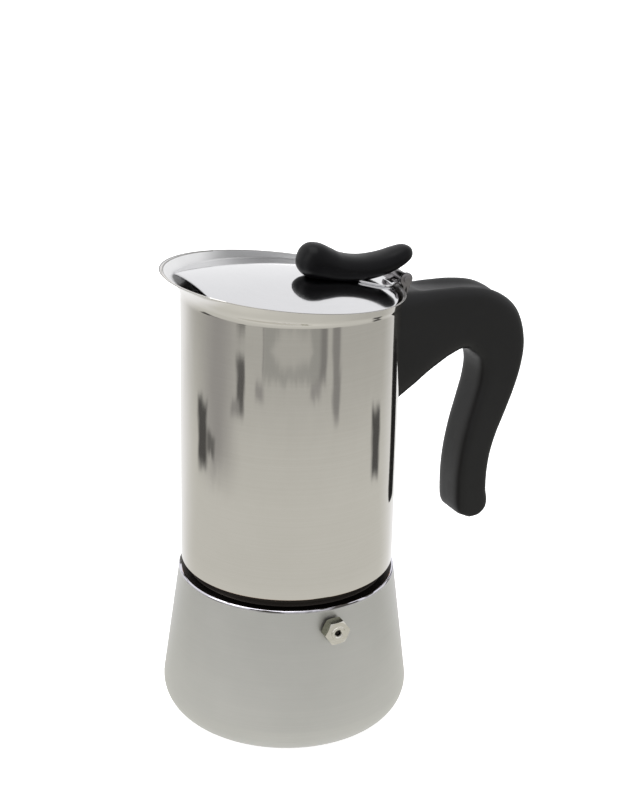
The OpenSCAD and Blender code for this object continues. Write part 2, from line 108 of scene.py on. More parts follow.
def remap(value, lo, hi, out_lo=0.0, out_hi=1.0):
    node = add_node(value.id_data, "MapRange", Value=value, From_Min=lo, From_Max=hi, To_Min=out_lo,
                    To_Max=out_hi)
    return node.outputs["Result"]


def smooth_step(value, lo, hi):
    node = add_node(value.id_data, "MapRange", Value=value, From_Min=lo, From_Max=hi)
    node.interpolation_type = "SMOOTHSTEP"
    return node.outputs["Result"]


def maths(kind, a, b=None):
    node = a.id_data.nodes.new("ShaderNodeMath")
    node.operation = kind
    feed(node.inputs[0], a)
    if b is not None:
        feed(node.inputs[1], b)
    return node.outputs[0]


def times(a, b):
    return maths("MULTIPLY", a, b)


def blend(first, *others):
    """Weighted sum of outputs, each given as (output, weight)."""
    total = times(*first)
    for value, weight in others:
        total = maths("ADD", total, times(value, weight))
    return total


def mix(fac, a, b, kind="RGBA"):
    """Goes from a to b, both colours or, with kind FLOAT, both numbers."""
    node = fac.id_data.nodes.new("ShaderNodeMix")
    node.data_type = kind
    first, result = {"RGBA": (6, 2), "FLOAT": (2, 0)}[kind]
    for index, value in ((0, fac), (first, a), (first + 1, b)):
        feed(node.inputs[index], value)
    return node.outputs[result]


def bump(height, strength, distance, below=None):
    node = add_node(height.id_data, "Bump", Height=height, Strength=strength, Distance=distance)
    if below is not None:
        feed(node.inputs["Normal"], below)
    return node.outputs["Normal"]


def axes_of(coord):
    return add_node(coord.id_data, "SeparateXYZ", Vector=coord).outputs


def around(coord):
    """Coordinates that follow a turned part: distance from the axis, a little of the angle, height."""
    x, y, z = axes_of(coord)
    radius = maths("SQRT", maths("ADD", times(x, x), times(y, y)))
    sway = times(maths("SINE", maths("ARCTAN2", y, x)), 0.01)
    return add_node(coord.id_data, "CombineXYZ", X=radius, Y=sway, Z=z).outputs[0]


def node_setup(name):
    """New material, its shader and the object coordinates."""
    mat = bpy.data.materials.new(name)
    mat.use_nodes = True
    coord = add_node(mat.node_tree, "TexCoord")
    return mat, mat.node_tree.nodes["Principled BSDF"], coord.outputs["Object"]


def finished(mat, bsdf, colour, roughness, normal):
    feed(bsdf.inputs["Base Color"], colour)
    feed(bsdf.inputs["Roughness"], roughness)
    feed(bsdf.inputs["Normal"], normal)
    return mat


def metal(name, colour, dark, rough, spread, line_scale, line_depth, wave=0.0, polish_and_highlight_above=None,
          warm_below=None):
    """Steel or nickel: tone patches, fine turning lines, small scratches and a slight waviness."""
    mat, bsdf, coord = node_setup(name)
    bsdf.inputs["Metallic"].default_value = 1.0
    patches = noise(coord, 38.0, detail=5.0, rough=0.6)
    specks = noise(coord, 900.0, detail=3.0)
    lines = noise(around(coord), 1.0, stretch=(line_scale, 40.0, line_scale), detail=3.0)
    scratches = noise(coord, 1.0, stretch=(2600.0, 2600.0, 60.0), detail=2.0, rough=0.7)
    steel = mix(remap(blend((patches, 0.55), (lines, 0.45)), 0.3, 0.72, 1.0, 0.0), colour, dark)
    level = blend((patches, 0.5), (specks, 0.2), (scratches, 0.3))
    roughness = remap(level, 0.3, 0.72, rough - spread, rough + spread)
    height = axes_of(coord)[2]
    if polish_and_highlight_above is not None:
        # painted highlight: the polished top edge is painted lighter and bluish, with nearly black painted
        # reflection streaks, and its roughness drops
        painted_highlight_edge = remap(height, polish_and_highlight_above - 0.0003, polish_and_highlight_above + 0.0003)
        painted_dark_streaks = noise(coord, 1.0, stretch=(60.0, 60.0, 900.0), detail=3.0)
        steel = mix(painted_highlight_edge, steel, (0.66, 0.65, 0.71, 1))
        steel = mix(times(smooth_step(painted_dark_streaks, 0.56, 0.62), painted_highlight_edge), steel, (0.07, 0.065, 0.06, 1))
        polish = remap(height, polish_and_highlight_above - 0.0004, polish_and_highlight_above + 0.0002)
        roughness = mix(polish, roughness, 0.09, "FLOAT")
    if warm_below is not None:
        low_edge = smooth_step(height, warm_below + 0.00015, warm_below - 0.00015)
        steel = mix(low_edge, steel, (0.42, 0.24, 0.13, 1))
    normal = bump(blend((lines, 0.7), (scratches, 0.3)), line_depth, 0.00003)
    if wave:
        normal = bump(noise(coord, 26.0, stretch=(1, 1, 0.35), detail=1.0), wave, 0.0006, normal)
    return finished(mat, bsdf, steel, roughness, normal)


def inside_steel_with_painted_shade(name):
    """Dull inside of the vessel, with painted shade making it nearly black below the rim by the hinge."""
    mat, bsdf, coord = node_setup(name)
    bsdf.inputs["Metallic"].default_value = 1.0
    patches = noise(coord, 55.0, detail=5.0, rough=0.6)
    rings = noise(around(coord), 1.0, stretch=(2600.0, 40.0, 2600.0), detail=3.0)
    steel = mix(remap(patches, 0.35, 0.7), (0.80, 0.80, 0.80, 1), (0.74, 0.74, 0.74, 1))
    x, _, z = axes_of(coord)
    wander = remap(patches, 0.3, 0.7, -0.0012, 0.0012)
    painted_shade_by_hinge = smooth_step(maths("ADD", x, wander), 0.034, 0.0395)
    low = smooth_step(maths("ADD", z, wander), 0.1825, 0.1812)
    # painted shade: the inside wall by the hinge, below the rim, is painted nearly black
    steel = mix(times(painted_shade_by_hinge, low), steel, (0.035, 0.03, 0.026, 1))
    return finished(mat, bsdf, steel, remap(patches, 0.3, 0.7, 0.34, 0.44), bump(rings, 0.12, 0.00003))


def grained_plastic(name, colour, worn, rough, grain_scale, grain_depth, gloss):
    """Moulded plastic with a spark-eroded grain, slight flow marks and worn high spots."""
    mat, bsdf, coord = node_setup(name)
    grain = noise(coord, grain_scale, detail=3.0, rough=0.6)
    flow = noise(coord, 30.0, stretch=(1, 2.5, 1), detail=3.0, distortion=0.6)
    wear = noise(coord, 120.0, detail=6.0, rough=0.7)
    mottled = blend((flow, 0.6), (wear, 0.4))
    bsdf.inputs["Specular IOR Level"].default_value = gloss
    return finished(mat, bsdf, mix(remap(mottled, 0.38, 0.7, 0.0, 0.8), colour, worn),
                    remap(mottled, 0.3, 0.7, rough + 0.05, rough - 0.06),
                    bump(flow, 0.15, 0.0003, bump(grain, grain_depth, 0.00006)))


def silicone(name):
    """Pale, slightly translucent rubber with dust on it."""
    mat, bsdf, coord = node_setup(name)
    soft = noise(coord, 60.0, detail=4.0)
    dust = noise(coord, 1400.0, detail=3.0)
    bsdf.inputs["Subsurface Weight"].default_value = 0.12
    bsdf.inputs["Subsurface Scale"].default_value = 0.004
    return finished(mat, bsdf, mix(remap(soft, 0.35, 0.7), (0.78, 0.76, 0.72, 1), (0.66, 0.62, 0.56, 1)),
                    remap(dust, 0.3, 0.7, 0.48, 0.66), bump(dust, 0.25, 0.00004))


MIRROR = metal("mirror_steel", (0.70, 0.68, 0.655, 1), (0.66, 0.64, 0.61, 1), 0.055, 0.018,
               line_scale=1500.0, line_depth=0.03, wave=0.03, warm_below=0.0689)
LID_STEEL = metal("lid_steel", (0.69, 0.69, 0.70, 1), (0.65, 0.65, 0.66, 1), 0.07, 0.02,
                  line_scale=1800.0, line_depth=0.03, wave=0.015)
SATIN = metal("satin_steel", (0.593, 0.591, 0.580, 1), (0.535, 0.536, 0.528, 1), 0.36, 0.05,
              line_scale=5200.0, line_depth=0.16, polish_and_highlight_above=0.0635)
INSIDE = inside_steel_with_painted_shade("vessel_inside")
INNER = metal("turned_steel", (0.56, 0.555, 0.54, 1), (0.42, 0.415, 0.40, 1), 0.30, 0.07,
              line_scale=3400.0, line_depth=0.3)
PRESSED = metal("pressed_steel", (0.64, 0.635, 0.62, 1), (0.54, 0.53, 0.51, 1), 0.24, 0.06,
                line_scale=2600.0, line_depth=0.18)
NICKEL = metal("nickel_brass", (0.74, 0.72, 0.68, 1), (0.60, 0.58, 0.52, 1), 0.17, 0.04,
               line_scale=1500.0, line_depth=0.04)
# painted shade: the hinge's steel is painted dark for the shade round the hinge
HINGE_SHADE_STEEL = metal("hinge_painted_shade_steel", (0.30, 0.29, 0.30, 1), (0.17, 0.16, 0.165, 1), 0.24, 0.05,
                    line_scale=2600.0, line_depth=0.15)
TARNISH = metal("tarnished_nickel", (0.34, 0.34, 0.27, 1), (0.22, 0.22, 0.16, 1), 0.30, 0.06,
                line_scale=1500.0, line_depth=0.08)
# painted dark reflection: darker steel on the rim's lip, standing in for the dark that the lip mirrors
RIM_LIP_DARK = metal("rim_lip_painted_dark_steel", (0.30, 0.295, 0.285, 1), (0.22, 0.215, 0.205, 1), 0.30, 0.06,
                 line_scale=2600.0, line_depth=0.15)
BLACK = grained_plastic("black_plastic", (0.0014, 0.0014, 0.0018, 1), (0.0034, 0.0034, 0.0042, 1), 0.43,
                        grain_scale=2300.0, grain_depth=0.35, gloss=0.34)
KNOB_BLACK = grained_plastic("knob_plastic", (0.0008, 0.0008, 0.0012, 1), (0.0020, 0.0020, 0.0028, 1), 0.36,
                             grain_scale=2500.0, grain_depth=0.3, gloss=0.12)
SILICONE = silicone("silicone")
# painted shade: nearly black steel for parts in dark recesses and gaps (the boiler's neck, the thread collar,
# the valve's seal and stem)
SHADE_STEEL = metal("painted_shade_steel", (0.045, 0.04, 0.036, 1), (0.02, 0.017, 0.015, 1), 0.42, 0.08,
             line_scale=1800.0, line_depth=0.2)


# ---------------------------------------- mesh building blocks
def polar(r, t, *z):
    """Point at radius r and angle t, with its height if one is given."""
    return (r * math.cos(t), r * math.sin(t), *z)


def full_turn(count):
    return [2 * math.pi * k / count for k in range(count)]


def placed(place, verts):
    return [tuple(place @ Vector(v)) for v in verts]


def new_object(name, verts, faces, mat):
    mesh = bpy.data.meshes.new(name)
    mesh.from_pydata([(x * MM, y * MM, z * MM) for x, y, z in verts], [], faces)
    mesh.materials.append(mat)
    obj = bpy.data.objects.new(name, mesh)
    bpy.context.scene.collection.objects.link(obj)
    return obj


def piece(name, verts, faces, mat, body, nodes, slot, sharp=35.0):
    """A piece on its body, in place of CAD nodes. Edges sharper than the given angle stay sharp."""
    obj = new_object(name, verts, faces, mat)
    mesh = obj.data
    mesh.validate()
    bm = bmesh.new()
    bm.from_mesh(mesh)
    bmesh.ops.remove_doubles(bm, verts=bm.verts, dist=1e-7)
    bmesh.ops.recalc_face_normals(bm, faces=bm.faces)
    bm.to_mesh(mesh)
    bm.free()
    mesh.polygons.foreach_set("use_smooth", [True] * len(mesh.polygons))
    mesh.set_sharp_from_angle(angle=math.radians(sharp))
    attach(obj, body)
    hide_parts(*nodes)
    return obj


def fillet(points, steps=5):
    """Rounds the corners of a closed outline given as (r, z) or (r, z, radius)."""
    out = []
    for i, p in enumerate(points):
        radius = p[2] if len(p) > 2 else 0.0
        c = Vector(p[:2])
        a = Vector(points[i - 1][:2]) - c
        b = Vector(points[(i + 1) % len(points)][:2]) - c
        angle = a.angle(b)
        if radius <= 0 or angle > math.pi - 0.02:
            out.append((c.x, c.y))
            continue
        reach = min(radius / math.tan(angle / 2), a.length * 0.49, b.length * 0.49)
        r = reach * math.tan(angle / 2)
        centre = c + (a.normalized() + b.normalized()).normalized() * (r / math.sin(angle / 2))
        start = c + a.normalized() * reach - centre
        end = c + b.normalized() * reach - centre
        turn = math.atan2(start.x * end.y - start.y * end.x, start.dot(end))
        out += [tuple(centre + Matrix.Rotation(turn * k / steps, 2) @ start) for k in range(steps + 1)]
    return out


def turned(outline, segments=160, closed=True, place=None):
    """Vertices and faces of an outline turned about the Z axis. Points with r = 0 become one vertex."""
    verts, rings, faces = [], [], []
    for r, z in outline:
        if abs(r) < 1e-6:
            rings.append([len(verts)] * segments)
            verts.append((0.0, 0.0, z))
        else:
            rings.append(list(range(len(verts), len(verts) + segments)))
            verts += [polar(r, t, z) for t in full_turn(segments)]
    count = len(rings)
    for i in range(count if closed else count - 1):
        a, b = rings[i], rings[(i + 1) % count]
        for j in range(segments):
            k = (j + 1) % segments
            corners = list(dict.fromkeys((a[j], a[k], b[k], b[j])))
            if len(corners) > 2:
                faces.append(corners)
    if place is not None:
        verts = placed(place, verts)
    return verts, faces


def lofted(rings, closed_along=False):
    """Skin over rings of equally many points, capped at both ends unless the last ring meets the first."""
    n, m = len(rings[0]), len(rings)
    verts = [v for ring in rings for v in ring]
    faces = []
    for i in range(m if closed_along else m - 1):
        u = (i + 1) % m
        for j in range(n):
            k = (j + 1) % n
            faces.append([i * n + j, i * n + k, u * n + k, u * n + j])
    if not closed_along:
        for start, ring in ((0, rings[0]), ((m - 1) * n, rings[-1])):
            verts.append(tuple(sum((Vector(v) for v in ring), Vector((0, 0, 0))) / n))
            faces += [[start + j, start + (j + 1) % n, len(verts) - 1] for j in range(n)]
    return verts, faces


def joined(*parts):
    verts, faces = [], []
    for more_verts, more_faces in parts:
        base = len(verts)
        verts += list(more_verts)
        faces += [[i + base for i in face] for face in more_faces]
    return verts, faces


def spline(points, count):
    """Even samples of a smooth curve through the given stations."""
    out = []
    lengths = [0.0]
    for a, b in zip(points, points[1:]):
        lengths.append(lengths[-1] + math.dist(a[:2], b[:2]))
    for s in range(count):
        want = lengths[-1] * s / (count - 1)
        i = 0
        while i < len(points) - 2 and lengths[i + 1] < want:
            i += 1
        t = (want - lengths[i]) / (lengths[i + 1] - lengths[i])
        stations = points[max(i - 1, 0)], points[i], points[i + 1], points[min(i + 2, len(points) - 1)]
        out.append(tuple(
            0.5 * (2 * b + (c - a) * t + (2 * a - 5 * b + 4 * c - d) * t * t
                   + (3 * b - a - 3 * c + d) * t ** 3)
            for a, b, c, d in zip(*stations)))
    return out


def box_part(x0, x1, y0, y1, z0, z1):
    verts = [(x, y, z) for x in (x0, x1) for y in (y0, y1) for z in (z0, z1)]
    faces = [[0, 1, 3, 2], [4, 6, 7, 5], [0, 4, 5, 1], [2, 3, 7, 6], [0, 2, 6, 4], [1, 5, 7, 3]]
    return verts, faces


def bevel(obj, width, segments):
    mod = obj.modifiers.new("soft_edges", "BEVEL")
    mod.width = width * MM
    mod.segments = segments
    mod.limit_method = "ANGLE"
    mod.angle_limit = math.radians(30)
    mod.harden_normals = True


# ---------------------------------------- the pot's own curves
def rim_at(x):
    """Height of the rim, which rises towards the spout."""
    return RIM_Z - RIM_SLOPE * x


def rim_r(t):
    """Radius of the rim at an angle: an ellipse whose middle lies towards the spout."""
    k, m, p = math.cos(t) / RIM_L, math.sin(t) / RIM_W, RIM_SHIFT / RIM_L
    qa, qb, qc = k * k + m * m, 2 * k * p, p * p - 1
    return (-qb + math.sqrt(qb * qb - 4 * qa * qc)) / (2 * qa)


def flare_foot(t):
    """Height at which the wall starts to open, at an angle."""
    return FLARE_Z - FLARE_TILT * VESSEL_R * math.cos(t) + FLARE_LIFT * math.sin(t) ** 2


def side_swell(share):
    """How far the wall has opened at a share of the flare's height, at the pot's sides."""
    if share < 0.28:
        return 4.536 * share * share
    if share < 0.5:
        return 0.3556 + 2.54 * (share - 0.28) - 4.41 * (share - 0.28) ** 2
    return 0.701 + 0.598 * (share - 0.5)


def flare(t, share, inset, drop):
    """Point of the flared wall at an angle and a share of the flare's height."""
    opened = share * share * math.cos(t) ** 2 + side_swell(share) * math.sin(t) ** 2
    r = VESSEL_R + (rim_r(t) - VESSEL_R) * opened - inset
    top = rim_at(rim_r(t) * math.cos(t))
    foot = flare_foot(t)
    return polar(r, t, foot + (top - foot) * share - drop)


def lid_reach(t):
    """Radius of the lid at an angle, longer towards the spout and cut straight at its tip."""
    c = math.cos(t)
    if c < 0:
        return min(LID_R + 4.9 * c * c, -LID_CUT / c)
    return LID_R + 0.6 * c * c


def lid_top(x, y):
    """Height of the lid's domed top face."""
    crown = LID_CROWN - LID_EASE * x - LID_SIDE_EASE * y * y
    return LID_Z - LID_SLOPE * x - LID_BOW * x * x - crown * y * y


# ---------------------------------------- boiler
def boiler_outline(inset):
    """Arc of the rounded foot, and the radius of the top edge."""
    r = FOOT_ROUND - inset
    arc = [(FOOT_X + r * math.cos(a), FOOT_ROUND + r * math.sin(a))
           for a in [math.radians(-90 + i * (90 + math.degrees(SIDE)) / 22) for i in range(23)]]
    return arc, BOILER_TOP - inset / math.cos(SIDE)


def build_boiler():
    outer, top_out = boiler_outline(0)
    inner, top_in = boiler_outline(SHEET)
    # pressed ring in the foot, then the side, then the rounded and polished top edge
    foot = [(0, 0.55), (25, 0.55), (26.2, 0.45), (27.4, 0.08), (28.5, 0)]
    side_r, side_z = outer[-1]
    side = [(side_r + (top_out - side_r) * s, side_z + (BOILER_H - side_z) * s)
            for s in (0.25, 0.5, 0.75, 0.9, 0.965)]
    edge_r = 0.75
    edge = [(top_out - edge_r + edge_r * math.cos(a) + 0.12, BOILER_H - edge_r + edge_r * math.sin(a))
            for a in [math.radians(10 + i * 80 / 8) for i in range(9)]]
    down = [(top_in, BOILER_H), (top_in + 0.3, BOILER_H - 4)]
    profile = foot + outer + side + edge + down + inner[::-1] + [(0, SHEET + 0.55)]
    verts, faces = turned(profile, segments=224, closed=False)
    piece("boiler_wall", verts, faces, SATIN, "boiler", ["boiler_shell"], "satin_steel", sharp=50)

    wall = BOILER_TOP - SHEET + 0.1
    shoulder = fillet([(NECK_R - NECK_T, BOILER_H - 1.5, 0.3), (wall, BOILER_H - 1.5),
                       (wall, BOILER_H - 0.15, 0.1), (NECK_R + 0.3, BOILER_H - 0.15, 0.4),
                       (NECK_R, BOILER_H + 1.2), (NECK_R, NECK_TOP, 0.5), (NECK_R - NECK_T, NECK_TOP, 0.4)])
    ridge = thread(NECK_R - 0.05, 0.75, 67.6, 73.6, outward=True)
    verts, faces = joined(turned(shoulder, 192), ridge)
    piece("boiler_neck_thread", verts, faces, SHADE_STEEL, "boiler", ["boiler_neck"], "inner_steel")


def thread(radius, height, z0, z1, outward, pitch=PITCH, per_turn=72):
    """A rounded ridge wound as a helix, tapering to nothing at both ends."""
    turns = (z1 - z0) / pitch
    steps = int(turns * per_turn)
    run_out = 0.12 * per_turn
    section = ((-0.85, -0.25), (-0.45, 0.55), (-0.18, 0.95), (0.18, 0.95), (0.45, 0.55), (0.85, -0.25))
    sign = 1 if outward else -1
    rings = []
    for i in range(steps + 1):
        t = 2 * math.pi * turns * i / steps
        z = z0 + (z1 - z0) * i / steps
        h = height * min(1.0, i / run_out, (steps - i) / run_out)
        ring = []
        for dz, out in section:
            r = radius + sign * (h * out if out > 0 else out)
            ring.append(polar(r, t, z + dz))
        rings.append(ring)
    return lofted(rings)


def valve_matrix():
    """Frame of the valve: its origin on the boiler's side and its Z axis outwards."""
    r = BOILER_FOOT - VALVE_Z * math.tan(SIDE)
    return (Matrix.Rotation(math.radians(VALVE_TURN), 4, "Z") @ Matrix.Translation((r, 0, VALVE_Z))
            @ Matrix.Rotation(math.pi / 2, 4, "Y"))


def hexagon(z0, z1, hole, roll, place):
    """Hexagonal prism with turned chamfers and a round hole."""
    half = VALVE_FLATS / 2
    inner_edge = half * 0.99
    columns = []
    for a in full_turn(144):
        past_corner = (math.degrees(a) - roll + 30) % 60 - 30
        reach = half / math.cos(math.radians(30 - abs(past_corner)))
        chamfer = (reach - inner_edge) * math.tan(math.radians(28))
        outline = ((hole, z0), (inner_edge, z0), (reach, z0 + chamfer),
                   (reach, z1 - chamfer), (inner_edge, z1), (hole, z1))
        columns.append([polar(r, a, z) for r, z in outline])
    verts, faces = lofted(list(zip(*columns)), closed_along=True)
    return placed(place, verts), faces


def build_valve():
    place = valve_matrix()
    face = VALVE_FACE
    head = hexagon(VALVE_BASE, face, 1.3, VALVE_ROLL, place)
    boss = turned(fillet([(1.27, face - 0.1), (3.2, face - 0.1), (2.95, face + 0.12, 0.1),
                          (2.85, face + 0.6, 0.25), (1.9, face + 0.6, 0.15), (1.4, face + 0.2, 0.1),
                          (1.27, face - 0.8)]), 72, place=place)
    bore = turned(fillet([(1.25, 0.2), (1.3, face), (2.0, face), (2.0, 0.2)]), 48, place=place)
    shank = turned(fillet([(2.1, -7, 0.1), (2.75, -7, 0.3), (2.75, 1.2), (2.1, 1.2)]), 72, place=place)
    ridge_verts, ridge_faces = thread(2.7, 0.22, -6.3, -0.6, outward=True, pitch=1.0, per_turn=36)
    verts, faces = joined(head, boss, bore, shank, (placed(place, ridge_verts), ridge_faces))
    body = piece("safety_valve", verts, faces, NICKEL, "boiler", ["valve_body"], "valve_metal", sharp=28)
    # the hexagon's flats and its back are tarnished, the turned face is bright
    body.data.materials.append(TARNISH)
    axis, start = place.to_3x3() @ Vector((0, 0, 1)), place.translation * MM
    for poly in body.data.polygons:
        off = poly.center - start
        if (off - axis * off.dot(axis)).length > 3.9 * MM and poly.normal.dot(axis) < 0.3:
            poly.material_index = 1
    seal = turned(fillet([(3, -0.2), (4.3, -0.4), (4.3, 0.72, 0.2), (3, 0.72, 0.05)]), 96, place=place)
    piece("valve_seal", *seal, SHADE_STEEL, "boiler", ["valve_washer"], "inner_steel")
    piece("valve_lock_nut", *hexagon(-4.2, -1.8, 3.0, 10.0, place), NICKEL, "boiler", ["valve_nut"],
          "valve_metal", sharp=28)
    stem = turned(fillet([(0, -5.8), (1.98, -5.8, 0.3), (1.98, -4.4, 0.2), (0.9, -4.4),
                          (0.9, face - 0.6, 0.35), (0, face - 0.3)]), 48, closed=False, place=place)
    piece("valve_plunger_stem", *stem, SHADE_STEEL, "valve_plunger", ["valve_plunger"], "inner_steel")
    # the coil has its pressed length, clear of the plunger at its highest
    turns, per_turn, wire, coil_r = 5, 30, 0.2, 1.5
    rings = []
    for i in range(turns * per_turn + 1):
        a = 2 * math.pi * i / per_turn
        z = -2.6 + (face + 1.1) * i / (turns * per_turn)
        ring = [polar(coil_r + wire * math.cos(b), a, z + wire * math.sin(b)) for b in full_turn(8)]
        rings.append(placed(place, ring))
    piece("valve_coil", *lofted(rings), PRESSED, "boiler", ["valve_spring"], "inner_steel")


# ---------------------------------------- funnel, gasket and strainers
def perforated(name, radius, thick, z, hole_r, gap, body, nodes, margin):
    """Disc with a close triangular pattern of round holes, as a filled curve turned into a mesh."""
    curve = bpy.data.curves.new(name + "_outline", "CURVE")
    curve.dimensions = "2D"
    curve.fill_mode = "BOTH"
    curve.extrude = thick / 2 * MM
    row_step = gap * 0.866

    def circle(cx, cy, r, count):
        line = curve.splines.new("POLY")
        line.points.add(count - 1)
        for point, t in zip(line.points, full_turn(count)):
            point.co = ((cx + r * math.cos(t)) * MM, (cy + r * math.sin(t)) * MM, 0, 1)
        line.use_cyclic_u = True
    circle(0, 0, radius, 144)
    rows = int(radius / row_step) + 1
    for i in range(-rows, rows + 1):
        for j in range(-rows - 2, rows + 3):
            x, y = (j + 0.5 * (i % 2)) * gap, i * row_step
            if math.hypot(x, y) < radius - margin:
                circle(x, y, hole_r, 10)
    temp = bpy.data.objects.new(name + "_temp", curve)
    bpy.context.scene.collection.objects.link(temp)
    bpy.context.view_layer.update()
    mesh = bpy.data.meshes.new_from_object(temp.evaluated_get(bpy.context.evaluated_depsgraph_get()))
    verts = [(v.co.x / MM, v.co.y / MM, v.co.z / MM + z) for v in mesh.vertices]
    faces = [list(p.vertices) for p in mesh.polygons]
    bpy.data.objects.remove(temp)
    bpy.data.curves.remove(curve)
    bpy.data.meshes.remove(mesh)
    piece(name, verts, faces, INNER, body, nodes, "inner_steel", sharp=40)


def build_funnel():
    t = 0.7
    gasket_top = GASKET_Z + GASKET_T
    basket = fillet([(STEM_R, CONE_Z, 0.2), (STEM_R + t, CONE_Z, 0.3), (BASKET_R, BASKET_Z, 2.0),
                     (BASKET_R, NECK_TOP - 0.1, 0.5), (FLANGE_R, NECK_TOP + 0.02, 0.25),
                     (FLANGE_R, GASKET_Z, 0.35), (BASKET_R - t, GASKET_Z, 0.9),
                     (BASKET_R - t, BASKET_Z + t, 1.6), (STEM_R, CONE_Z + t, 0.4)])
    piece("funnel_cup", *turned(basket, 192), PRESSED, "funnel", ["funnel_basket"], "satin_steel")
    stem = fillet([(STEM_BORE, STEM_Z, 0.15), (STEM_R, STEM_Z, 0.25), (STEM_R, CONE_Z + 1.5, 0.3),
                   (STEM_BORE, CONE_Z + 1.5, 0.3)])
    piece("funnel_tube", *turned(stem, 72), PRESSED, "funnel", ["funnel_stem"], "satin_steel")
    perforated("funnel_sieve", BASKET_R - t - 0.05, 0.6, BASKET_Z + t + 0.45, hole_r=0.62, gap=2.5,
               body="funnel", nodes=["funnel_strainer"], margin=3.2)
    ring = fillet([(30, GASKET_Z + 0.02, 0.5), (GASKET_R, GASKET_Z + 0.02, 0.9), (GASKET_R, gasket_top, 0.9),
                   (30, gasket_top, 0.5)])
    piece("seal_ring", *turned(ring, 160), SILICONE, "gasket", ["gasket"], "silicone")
    perforated("filter_disc", PLATE_R, 0.7, gasket_top + 0.4, hole_r=0.55, gap=2.3,
               body="filter_plate", nodes=["filter_plate"], margin=4.2)


# ---------------------------------------- vessel
def build_wall():
    """The vessel's sheet: up its outside, over the rim and down its inside."""
    angles = full_turn(320)
    rings = []

    def straight(inset, z, share=0.0):
        rings.append([polar(VESSEL_R - inset, t, z + (flare_foot(t) - z) * share) for t in angles])

    def flared(share, inset, drop):
        rings.append([flare(t, share, inset, drop) for t in angles])
    # bottom edge with its rolled corner, then the straight wall
    for inset, up in ((0.55, 0.0), (0.3, 0.03), (0.12, 0.12), (0.03, 0.3), (0.0, 0.55)):
        straight(inset, VESSEL_Z + up)
    for s in (0.08, 0.25, 0.5, 0.75, 0.92, 1.0):
        straight(0, VESSEL_Z, s)
    steps = 30
    for i in range(1, steps + 1):
        flared(i / steps * 0.985, 0.0, 0.0)
    rolled_edge = ((0.0, 0.10), (0.05, 0.02), (0.14, 0.0), (0.3, 0.08), (0.5, 0.26), (0.66, 0.5), (0.75, 0.8))
    for inset, drop in rolled_edge:
        flared(1.0, inset, drop)
    for i in range(steps, 0, -1):
        s = i / steps * 0.965
        flared(s, VESSEL_T - 0.04, -0.12 * s)
    for s in (1.0, 0.75, 0.5, 0.25, 0.08, 0.0):
        straight(VESSEL_T, VESSEL_Z, s)
    wall = piece("vessel_wall", *lofted(rings, closed_along=True), MIRROR, "collector", ["vessel_shell"],
                 "polished_steel", sharp=60)
    # the inside is duller than the polished outside and carries the painted shade by the hinge; the rim's lip
    # is painted dark, a painted dark reflection
    wall.data.materials.append(INSIDE)
    wall.data.materials.append(RIM_LIP_DARK)
    for poly in wall.data.polygons:
        x, y, z = poly.center
        # painted dark reflection on the rim's lip
        if poly.normal.z > 0.25 and abs(z / MM - rim_at(x / MM)) < 0.3:
            poly.material_index = 2
        elif x * poly.normal.x + y * poly.normal.y < 0:
            poly.material_index = 1


def build_vessel():
    build_wall()
    floor_plate = fillet([(COLUMN_FOOT - 1, SEAT_TOP + 0.02), (VESSEL_R - 0.9, SEAT_TOP + 0.02),
                          (VESSEL_R - 0.9, SEAT_TOP + 2.6, 0.2), (VESSEL_R - 1.5, SEAT_TOP + 2.6, 0.2),
                          (VESSEL_R - 1.8, SEAT_TOP + 1.1, 1.2), (COLUMN_FOOT - 1, SEAT_TOP + 1.0)])
    piece("vessel_base", *turned(floor_plate, 192), PRESSED, "collector", ["vessel_floor"], "satin_steel")

    plate_z = GASKET_Z + GASKET_T
    recess = plate_z + 0.9
    collar = fillet([(COLLAR_BORE + 0.05, COLLAR_Z, 0.3), (COLLAR_R, COLLAR_Z, 0.3),
                     (COLLAR_R, SEAT_TOP, 0.2), (PLATE_R - 1.6, SEAT_TOP, 0.2), (PLATE_R - 1.6, recess, 0.1),
                     (PLATE_R + 0.4, recess), (PLATE_R + 0.4, plate_z, 0.2),
                     (COLLAR_BORE + 0.05, plate_z, 0.3)])
    threaded = joined(turned(collar, 192), thread(COLLAR_BORE + 0.1, 0.72, 70.9, 74.4, outward=False))
    piece("collar_thread", *threaded, SHADE_STEEL, "collector", ["thread_collar"], "inner_steel")

    foot = SEAT_TOP + 1.0
    cone_low = CONE_TOP - 18
    column = fillet([(COLUMN_FOOT - 0.8, foot, 0.1), (COLUMN_FOOT + 2, foot, 0.1),
                     (COLUMN_FOOT + 2, foot + 0.8, 0.3), (COLUMN_FOOT, foot + 0.8, 1.2),
                     (COLUMN_TOP + 2, cone_low, 30), (COLUMN_TOP, CONE_TOP, 20), (COLUMN_TOP, COLUMN_Z, 0.2),
                     (COLUMN_TOP - 0.8, COLUMN_Z, 0.2), (COLUMN_TOP - 0.8, CONE_TOP, 20),
                     (COLUMN_TOP + 1.2, cone_low, 30)], steps=8)
    piece("riser_column", *turned(column, 96), PRESSED, "collector", ["coffee_column"], "satin_steel")
    build_cap()


